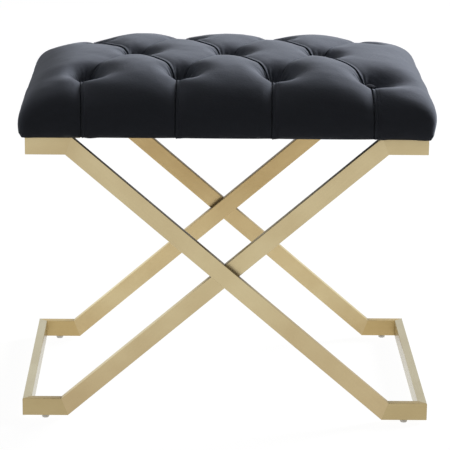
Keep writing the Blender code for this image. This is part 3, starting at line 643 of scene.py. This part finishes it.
def make_dust_cover():
    """Thin sheet under the seat, stapled at its edges and sagging a little, with a hole at each screw."""
    half_x, half_y = DUST_HIGH.x, DUST_HIGH.y
    middle_z = (DUST_LOW.z + DUST_HIGH.z) / 2
    bm = bmesh.new()
    columns, rows = round(2 * half_x / DUST_STEP), round(2 * half_y / DUST_STEP)
    bmesh.ops.create_grid(bm, x_segments=columns, y_segments=rows, size=1)
    for vert in bm.verts:
        x, y = vert.co.x, vert.co.y
        sag = (1 - x * x) * (1 - y * y)
        ripple = noise.noise(Vector((x * DUST_CRINKLES_X, y * DUST_CRINKLES_Y, 0)))
        crinkle = ripple * min(1, DUST_CRINKLE_FADE * sag)
        vert.co = (x * half_x, y * half_y, middle_z - DUST_SAG * sag + DUST_CRINKLE * crinkle)
    holes = screw_places()
    inside = [
        face
        for face in bm.faces
        if any((face.calc_center_median() - hole).xy.length < DUST_HOLE for hole in holes)
    ]
    bmesh.ops.delete(bm, geom=inside, context="FACES")
    sheet = mesh_object("dust_sheet", bm)
    sheet.data.shade_smooth()
    return sheet


def clear_of_plates(x, y):
    room = STAPLE_SIZE[0]
    boxes = [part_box(name) for name in nodes if name.endswith("_seat_plate")]
    return not any(
        low.x - room < x < high.x + room and low.y - room < y < high.y + room for low, high in boxes
    )


def make_staples():
    """Staples round the edge of the dust cover, where no plate is in the way."""
    edge_x, edge_y = DUST_HIGH.x - STAPLE_INSET, DUST_HIGH.y - STAPLE_INSET
    z = (DUST_LOW.z + DUST_HIGH.z) / 2 - STAPLE_SIZE[2] / 2 - STAPLE_GAP
    places = []
    for edge, reach, lengthwise in ((edge_y, edge_x, True), (edge_x, edge_y, False)):
        count = round(2 * reach / STAPLE_STEP)
        for i in range(1, count):
            along = -reach + 2 * reach * i / count
            for side in (-1, 1):
                x, y = (along, side * edge) if lengthwise else (side * edge, along)
                if clear_of_plates(x, y):
                    places.append((x, y, lengthwise))
    bm = bmesh.new()
    for x, y, lengthwise in places:
        turn = Matrix() if lengthwise else Matrix.Rotation(math.pi / 2, 4, "Z")
        size = Matrix.Diagonal((*STAPLE_SIZE, 1))
        bmesh.ops.create_cube(bm, size=1, matrix=Matrix.Translation((x, y, z)) @ turn @ size)
    return mesh_object("dust_cover_staples", bm)


# Materials

def shader_nodes(name):
    material = bpy.data.materials.new(name)
    material.use_nodes = True
    tree = material.node_tree
    return material, tree, tree.nodes["Principled BSDF"]


def add_node(tree, kind, **values):
    node = tree.nodes.new(kind)
    for key, value in values.items():
        if key in node.inputs:
            node.inputs[key].default_value = value
        else:
            setattr(node, key, value)
    return node


def set_inputs(node, values):
    for name, value in values.items():
        node.inputs[name].default_value = value


def place_node(tree, scale, turn=0.0):
    """Object coordinates, turned about Y and then scaled."""
    where = add_node(tree, "ShaderNodeTexCoord")
    turned = add_node(tree, "ShaderNodeMapping", Rotation=(0, turn, 0))
    sized = add_node(tree, "ShaderNodeMapping", Scale=scale)
    tree.links.new(where.outputs["Object"], turned.inputs["Vector"])
    tree.links.new(turned.outputs["Vector"], sized.inputs["Vector"])
    return sized.outputs["Vector"]


def noise_node(tree, vector, scale, detail=2.0, roughness=0.5):
    node = add_node(tree, "ShaderNodeTexNoise", Scale=scale, Detail=detail, Roughness=roughness)
    tree.links.new(vector, node.inputs["Vector"])
    return node.outputs["Fac"]


def ramp_node(tree, factor, stops):
    """Colours at places from 0 to 1, blended between them."""
    ramp = add_node(tree, "ShaderNodeValToRGB")
    elements = ramp.color_ramp.elements
    while len(elements) < len(stops):
        elements.new(0.5)
    for element, (place, colour) in zip(elements, stops):
        element.position = place
        element.color = (*colour, 1)
    tree.links.new(factor, ramp.inputs["Fac"])
    return ramp.outputs["Color"]


def shade_node(tree, factor, colours):
    """Two colours, blended by a noise."""
    return ramp_node(tree, factor, list(zip(NOISE_RANGE, colours)))


def tone_node(tree, height, stops):
    """Painted shade and light that change with the height above the floor."""
    return ramp_node(tree, height, [(place / TONE_HEIGHT, tint) for place, tint in stops])


def range_node(tree, factor, low, high, start=0.0, end=1.0):
    node = add_node(tree, "ShaderNodeMapRange")
    set_inputs(node, {"From Min": start, "From Max": end, "To Min": low, "To Max": high})
    tree.links.new(factor, node.inputs["Value"])
    return node.outputs["Result"]


def bump_node(tree, height, strength, distance, before=None):
    node = add_node(tree, "ShaderNodeBump", Strength=strength, Distance=distance)
    tree.links.new(height, node.inputs["Height"])
    if before:
        tree.links.new(before, node.inputs["Normal"])
    return node.outputs["Normal"]


def mix_node(tree, factor, first, second, blend="MIX"):
    """Mixes two colours. factor is a number or an output."""
    node = add_node(tree, "ShaderNodeMix", data_type="RGBA", blend_type=blend)
    if isinstance(factor, float):
        node.inputs[MIX_FACTOR].default_value = factor
    else:
        tree.links.new(factor, node.inputs[MIX_FACTOR])
    for number, colour in zip(MIX_COLOURS, (first, second)):
        if isinstance(colour, tuple):
            node.inputs[number].default_value = (*colour, 1)
        else:
            tree.links.new(colour, node.inputs[number])
    return node.outputs[MIX_COLOUR_RESULT]


def open_node(tree, reach):
    """1 in the open, less where other surfaces are within reach."""
    node = add_node(tree, "ShaderNodeAmbientOcclusion", samples=OCCLUSION_SAMPLES, Distance=reach)
    return node.outputs["AO"]


def upholstery_material(name, sheen):
    """Soft near-black covering with a fine nap, and painted shade deep in the wells and pleats."""
    material, tree, shader = shader_nodes(name)
    spots = place_node(tree, (1, 1, 1))
    threads = place_node(tree, GRAIN_STRETCH)
    colour = shade_node(tree, noise_node(tree, spots, SHADE_SCALE, detail=3), NAP_COLOURS)
    # Painted shade: the colour goes to near black where other cover is close, deep in the wells and pleats
    unshaded = range_node(tree, open_node(tree, WELL_SHADE_REACH), 0.0, 1.0, *WELL_SHADE_RANGE)
    tree.links.new(mix_node(tree, unshaded, PAINTED_WELL_SHADE_COLOUR, colour), shader.inputs["Base Color"])
    grain = noise_node(tree, threads, GRAIN_SCALE)
    nap = noise_node(tree, spots, NAP_SCALE, detail=3)
    tree.links.new(range_node(tree, nap, *NAP_ROUGHNESS), shader.inputs["Roughness"])
    fine = bump_node(tree, grain, *GRAIN_BUMP)
    tree.links.new(bump_node(tree, nap, *NAP_BUMP, fine), shader.inputs["Normal"])
    set_inputs(shader, {"Specular IOR Level": NAP_SPECULAR, "Sheen Weight": sheen})
    set_inputs(shader, {"Sheen Roughness": SHEEN_ROUGHNESS, "Sheen Tint": SHEEN_TINT})
    return material


def upward_node(tree):
    """1 on upward faces, 0 on the others."""
    facing = add_node(tree, "ShaderNodeSeparateXYZ")
    surface = add_node(tree, "ShaderNodeNewGeometry")
    tree.links.new(surface.outputs["True Normal"], facing.inputs["Vector"])
    return range_node(tree, facing.outputs["Z"], 0.0, 1.0, UPWARD_START, UPWARD_FULL)


def crevice_node(tree, upward):
    """1 in the open, less on upward faces that lie close under another tube."""
    share = add_node(tree, "ShaderNodeMix", data_type="FLOAT")
    elsewhere, on_top = (share.inputs[number] for number in MIX_NUMBERS)
    elsewhere.default_value = 1.0
    tree.links.new(upward, share.inputs[MIX_FACTOR])
    tree.links.new(open_node(tree, CREVICE_REACH), on_top)
    result = share.outputs[MIX_NUMBER_RESULT]
    return range_node(tree, result, 0.0, 1.0, CREVICE_DARKEST, CREVICE_LIGHTEST)


def painted_by_height(tree, colour, height, depth, shade_stops):
    """A colour times painted shade and light by height, which blend from those of the front to those of the
    rear.
    """
    front, rear = (tone_node(tree, height, stops) for stops in shade_stops)
    return mix_node(tree, 1.0, colour, mix_node(tree, depth, front, rear), "MULTIPLY")


def brass_material(name, along, tones, tops=(PLAIN_TOP, PLAIN_TOP)):
    """Champagne-gold plating, brushed along a direction, with painted shade and light by height and on upward
    faces.
    """
    material, tree, shader = shader_nodes(name)
    along = Vector(along)
    if along.y:
        scale, turn = (BRUSH_ACROSS, BRUSH_ALONG, BRUSH_ACROSS), 0.0
    else:
        scale, turn = (BRUSH_ALONG, BRUSH_ACROSS, BRUSH_ACROSS), math.atan2(along.z, along.x)
    brushed = place_node(tree, scale, turn)
    spots = place_node(tree, (1, 1, 1))
    streaks = noise_node(tree, brushed, 1.0, detail=3, roughness=BRUSH_NOISE_ROUGHNESS)
    colour = shade_node(tree, noise_node(tree, spots, CLOUD_SCALE, detail=3), BRASS_COLOURS)
    where = add_node(tree, "ShaderNodeSeparateXYZ")
    tree.links.new(spots, where.inputs["Vector"])
    height = range_node(tree, where.outputs["Z"], 0.0, 1.0, 0.0, TONE_HEIGHT)
    depth = range_node(tree, where.outputs["Y"], 0.0, 1.0, -TONE_DEPTH, TONE_DEPTH)
    upward = upward_node(tree)
    # Painted shade and light by height, then more of it on upward faces
    colour = painted_by_height(tree, colour, height, depth, tones)
    colour = mix_node(tree, upward, colour, painted_by_height(tree, colour, height, depth, tops))
    colour = mix_node(tree, crevice_node(tree, upward), CREVICE_COLOUR, colour)
    tree.links.new(colour, shader.inputs["Base Color"])
    tree.links.new(range_node(tree, streaks, *BRASS_ROUGHNESS), shader.inputs["Roughness"])
    tree.links.new(bump_node(tree, streaks, *BRUSH_BUMP), shader.inputs["Normal"])
    direction = add_node(tree, "ShaderNodeCombineXYZ", X=along.x, Y=along.y, Z=along.z)
    tree.links.new(direction.outputs["Vector"], shader.inputs["Tangent"])
    tree.links.new(range_node(tree, upward, COAT, COAT_ON_TOP), shader.inputs["Coat Weight"])
    set_inputs(shader, {"Anisotropic": ANISOTROPY, "Anisotropic Rotation": ANISOTROPY_TURN})
    set_inputs(shader, {"Metallic": 1.0, "Coat Roughness": COAT_ROUGHNESS})
    return material


def plain_material(name):
    """One of the plain finishes, with a fine uneven surface."""
    low, high, scale, roughness, metallic, strength, stretch = FINISHES[name]
    material, tree, shader = shader_nodes(name)
    spots = place_node(tree, stretch)
    grain = noise_node(tree, spots, scale, detail=3)
    cloud = noise_node(tree, spots, scale / CLOUD_TO_GRAIN)
    tree.links.new(shade_node(tree, cloud, (low, high)), shader.inputs["Base Color"])
    uneven = range_node(tree, grain, roughness - ROUGHNESS_SPREAD, roughness + ROUGHNESS_SPREAD)
    tree.links.new(uneven, shader.inputs["Roughness"])
    tree.links.new(bump_node(tree, grain, strength, GRAIN_HEIGHT), shader.inputs["Normal"])
    set_inputs(shader, {"Metallic": metallic})
    return material


def set_material(obj, material):
    if obj.material_slots:
        for place in obj.material_slots:
            place.material = material
    else:
        obj.data.materials.append(material)


def dress_frame():
    """Brushing along each tube, and plain finishes for the rest of the part's own pieces."""
    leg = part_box("outer_front_leg")
    run, rise = leg[1].x - leg[0].x, leg[1].z - leg[0].z
    falling = brass_material("brushed_falling", (run, 0, -rise), PAINTED_LEG_SHADE, PAINTED_FALLING_TOPS)
    rising = brass_material("brushed_rising", (run, 0, rise), PAINTED_LEG_SHADE, PAINTED_RISING_TOPS)
    level = brass_material("brushed_level", (1, 0, 0), PAINTED_FLAT_SHADE, PAINTED_FLAT_TOPS)
    deep = brass_material("brushed_deep", (0, 1, 0), PAINTED_BAR_CAST)
    zinc = plain_material("zinc")
    finishes = (
        (("_foot", "_arm"), level),
        (("_bar", "_plate"), deep),
        (("_screw", "_nut"), zinc),
        ("_glide", plain_material("moulded_nylon")),
        ("seat_board", plain_material("plywood")),
        ("_tie", plain_material("twine")),
    )
    for name, obj in nodes.items():
        if name.endswith("_leg"):
            set_material(obj, falling if name.startswith("outer") else rising)
        for endings, material in finishes:
            if name.endswith(endings):
                set_material(obj, material)
    return level, zinc


# Studio and camera

def add_lamp(name, from_direction, distance, strength, size):
    """A round softbox turned to the seat, which metal doesn't mirror."""
    lamp = bpy.data.lights.new(name, "AREA")
    lamp.shape, lamp.size = "DISK", size
    lamp.energy = strength * math.pi * distance**2
    obj = new_object(name, lamp)
    toward = Vector(from_direction).normalized()
    obj.rotation_euler = toward.to_track_quat("Z", "Y").to_euler()
    obj.location = Vector((0, 0, BOTTOM + HEIGHT / 2)) + toward * distance
    obj.visible_glossy = False


def background_share(tree):
    """1 for rays that see the white background, by themselves or in metal, 0 for light on the object."""
    path = add_node(tree, "ShaderNodeLightPath")
    first = add_node(tree, "ShaderNodeMath", operation="MAXIMUM")
    both = add_node(tree, "ShaderNodeMath", operation="MAXIMUM")
    tree.links.new(path.outputs["Is Camera Ray"], first.inputs[0])
    tree.links.new(path.outputs["Is Glossy Ray"], first.inputs[1])
    tree.links.new(first.outputs[0], both.inputs[0])
    tree.links.new(path.outputs["Is Transmission Ray"], both.inputs[1])
    return both.outputs[0]


def make_world():
    """White as a background and in metal. Its light on the object is bright on one side, dim on the other."""
    world = bpy.data.worlds.new("studio")
    bpy.context.scene.world = world
    world.use_nodes = True
    tree = world.node_tree
    background = tree.nodes["Background"]
    set_inputs(background, {"Color": (1, 1, 1, 1)})
    where = add_node(tree, "ShaderNodeTexCoord")
    facing = add_node(tree, "ShaderNodeVectorMath", operation="DOT_PRODUCT")
    facing.inputs[1].default_value = Vector(WORLD_TOWARD).normalized()
    tree.links.new(where.outputs["Generated"], facing.inputs[0])
    ambient = range_node(tree, facing.outputs["Value"], WORLD_DIM, WORLD_BRIGHT, -1.0)
    strength = add_node(tree, "ShaderNodeMapRange")
    set_inputs(strength, {"To Max": 1.0})
    tree.links.new(background_share(tree), strength.inputs["Value"])
    tree.links.new(ambient, strength.inputs["To Min"])
    tree.links.new(strength.outputs["Result"], background.inputs["Strength"])


def make_floor():
    """White where it is seen, with the object's shadow, and darker for the light that it throws back."""
    bm = bmesh.new()
    bmesh.ops.create_grid(bm, x_segments=1, y_segments=1, size=FLOOR_HALF)
    floor = mesh_object("floor", bm)
    material, tree, shader = shader_nodes("floor_white")
    seen = background_share(tree)
    tree.links.new(range_node(tree, seen, *FLOOR_COLOURS), shader.inputs["Base Color"])
    set_inputs(shader, {"Roughness": FLOOR_ROUGHNESS, "Specular IOR Level": 0.0})
    glow = add_node(tree, "ShaderNodeEmission", Strength=FLOOR_GLOW)
    mix = add_node(tree, "ShaderNodeMixShader")
    tree.links.new(range_node(tree, seen, 0.0, FLOOR_GLOW_SHARE), mix.inputs["Fac"])
    tree.links.new(shader.outputs["BSDF"], mix.inputs[1])
    tree.links.new(glow.outputs["Emission"], mix.inputs[2])
    tree.links.new(mix.outputs["Shader"], tree.nodes["Material Output"].inputs["Surface"])
    floor.data.materials.append(material)


def make_camera():
    """The photograph's viewpoint."""
    yaw, pitch, roll = (math.radians(angle) for angle in CAMERA_ANGLES)
    forward = Vector((math.sin(yaw) * math.cos(pitch), math.cos(yaw) * math.cos(pitch), -math.sin(pitch)))
    right = Vector((math.cos(yaw), -math.sin(yaw), 0))
    up = right.cross(forward)
    right, up = (
        right * math.cos(roll) + up * math.sin(roll),
        up * math.cos(roll) - right * math.sin(roll),
    )
    camera = bpy.data.cameras.new("camera")
    camera.sensor_width = CAMERA_SENSOR
    camera.lens = CAMERA_LENS
    camera.clip_end = CAMERA_CLIP_END
    obj = new_object("camera", camera)
    turn = Matrix((right, up, -forward)).transposed().to_4x4()
    obj.matrix_world = Matrix.Translation(CAMERA_PLACE) @ turn
    bpy.context.scene.camera = obj


def main():
    make_camera()
    make_world()
    make_floor()
    add_lamp("key", *KEY_LAMP)
    add_lamp("fill", *FILL_LAMP)
    bpy.context.scene.view_settings.view_transform = "Standard"

    upholstery = upholstery_material("upholstery_nap", COVER_SHEEN)
    # Painted shade: a darker copy of the cover for the buttons
    shaded_button_cover = upholstery_material("button_nap_shaded", SHADED_BUTTON_SHEEN)
    brass, zinc = dress_frame()
    for prefix in ("outer", "inner"):
        welds = make_welds(prefix)
        set_material(welds, brass)
        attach(welds, BODY)
    cushion = make_cushion()
    set_material(cushion, upholstery)
    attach(cushion, BODY)
    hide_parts("seat_cover", "seat_foam")
    for name, obj in nodes.items():
        if name.endswith("_button"):
            set_material(obj, shaded_button_cover)

    dust_cover, staples = make_dust_cover(), make_staples()
    set_material(dust_cover, plain_material("nonwoven"))
    set_material(staples, zinc)
    for piece, slot in ((dust_cover, "nonwoven"), (staples, "zinc")):
        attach(piece, BODY)
    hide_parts("dust_cover")


main()
